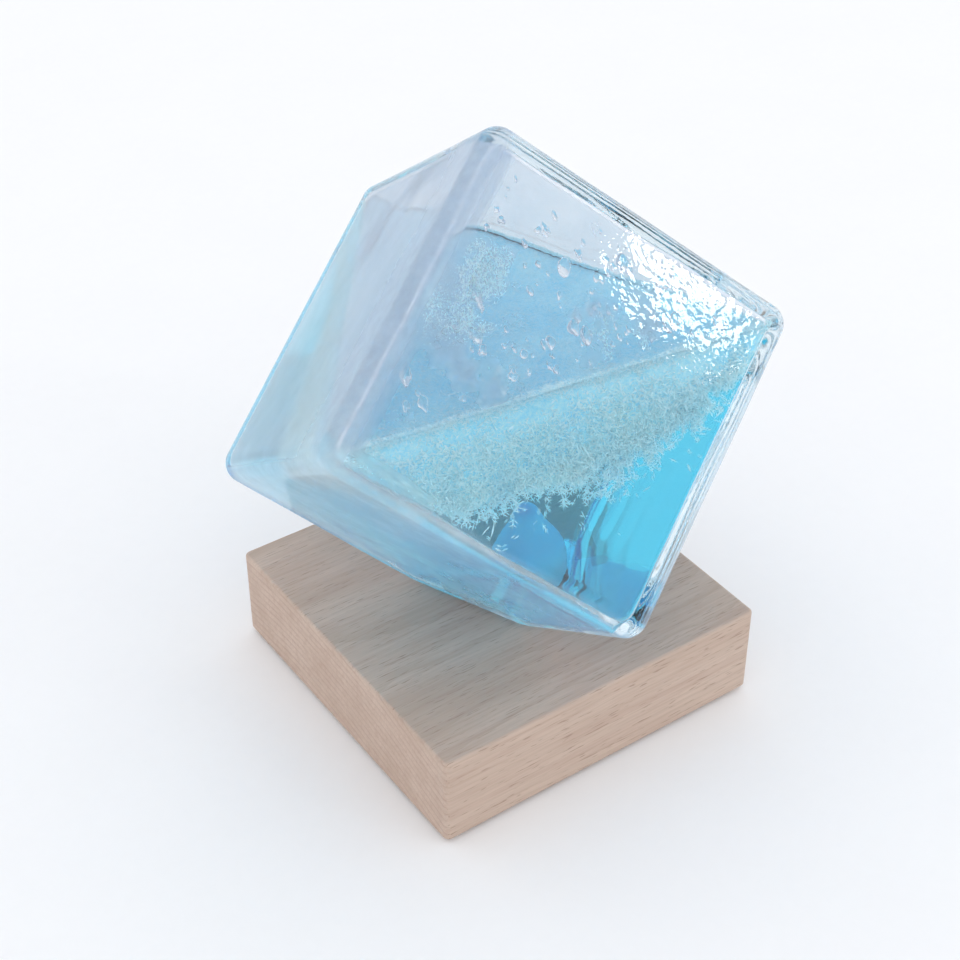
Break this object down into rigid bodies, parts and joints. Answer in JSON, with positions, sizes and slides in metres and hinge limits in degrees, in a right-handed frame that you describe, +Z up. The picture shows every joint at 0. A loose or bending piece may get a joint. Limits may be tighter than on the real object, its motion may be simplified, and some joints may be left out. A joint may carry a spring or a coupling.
{
  "type": "storm glass cube",
  "caption": "Sealed thick-walled glass cube of blue liquid with white crystals, standing on its cut corner in a round seat on a square beech block.",
  "frame": {"origin": "middle of the foot pads' undersides, below the glass cube's vertical diagonal", "axes": "+Z up along the cube's vertical diagonal; +X along the grain of the block; -Y is the block's long-grain front side"},
  "size_m": [0.1154, 0.1234, 0.1447],
  "materials": {
    "beech": "fine-sanded pale beech with short dark flecks, unvarnished",
    "grommet": "soft translucent silicone",
    "clear_glass": "polished clear blown glass, slightly wavy",
    "stopper": "white silicone, stained pale blue by the liquid",
    "sealant": "cured clear resin",
    "blue_liquid": "clear blue camphor solution",
    "camphor_crystals": "white feathery crystals",
    "pad_felt": "pressed felt"
  },
  "bodies": {
    "base": {"wooden_base": "beech", "front_left_foot_pad": "pad_felt", "front_right_foot_pad": "pad_felt", "back_left_foot_pad": "pad_felt", "back_right_foot_pad": "pad_felt"},
    "seat": {"seat_grommet": "grommet"},
    "glass": {"glass_vessel": "clear_glass", "filler_neck": "clear_glass", "neck_stopper": "stopper", "neck_seal": "sealant", "storm_liquid": "blue_liquid", "surface_crystals": "camphor_crystals", "hanging_crystals": "camphor_crystals", "left_wall_crystals": "camphor_crystals", "front_wall_crystals": "camphor_crystals"}
  },
  "joints": [
    {"name": "glass_turn", "type": "hinge", "parent": "base", "child": "seat", "pos_m": [0, 0, 0.025], "axis": [0, 0, 1], "continuous": true},
    {"name": "glass_lift", "type": "slide", "parent": "seat", "child": "glass", "axis": [0, 0, 1], "range_m": [0, 0.06]}
  ]
}
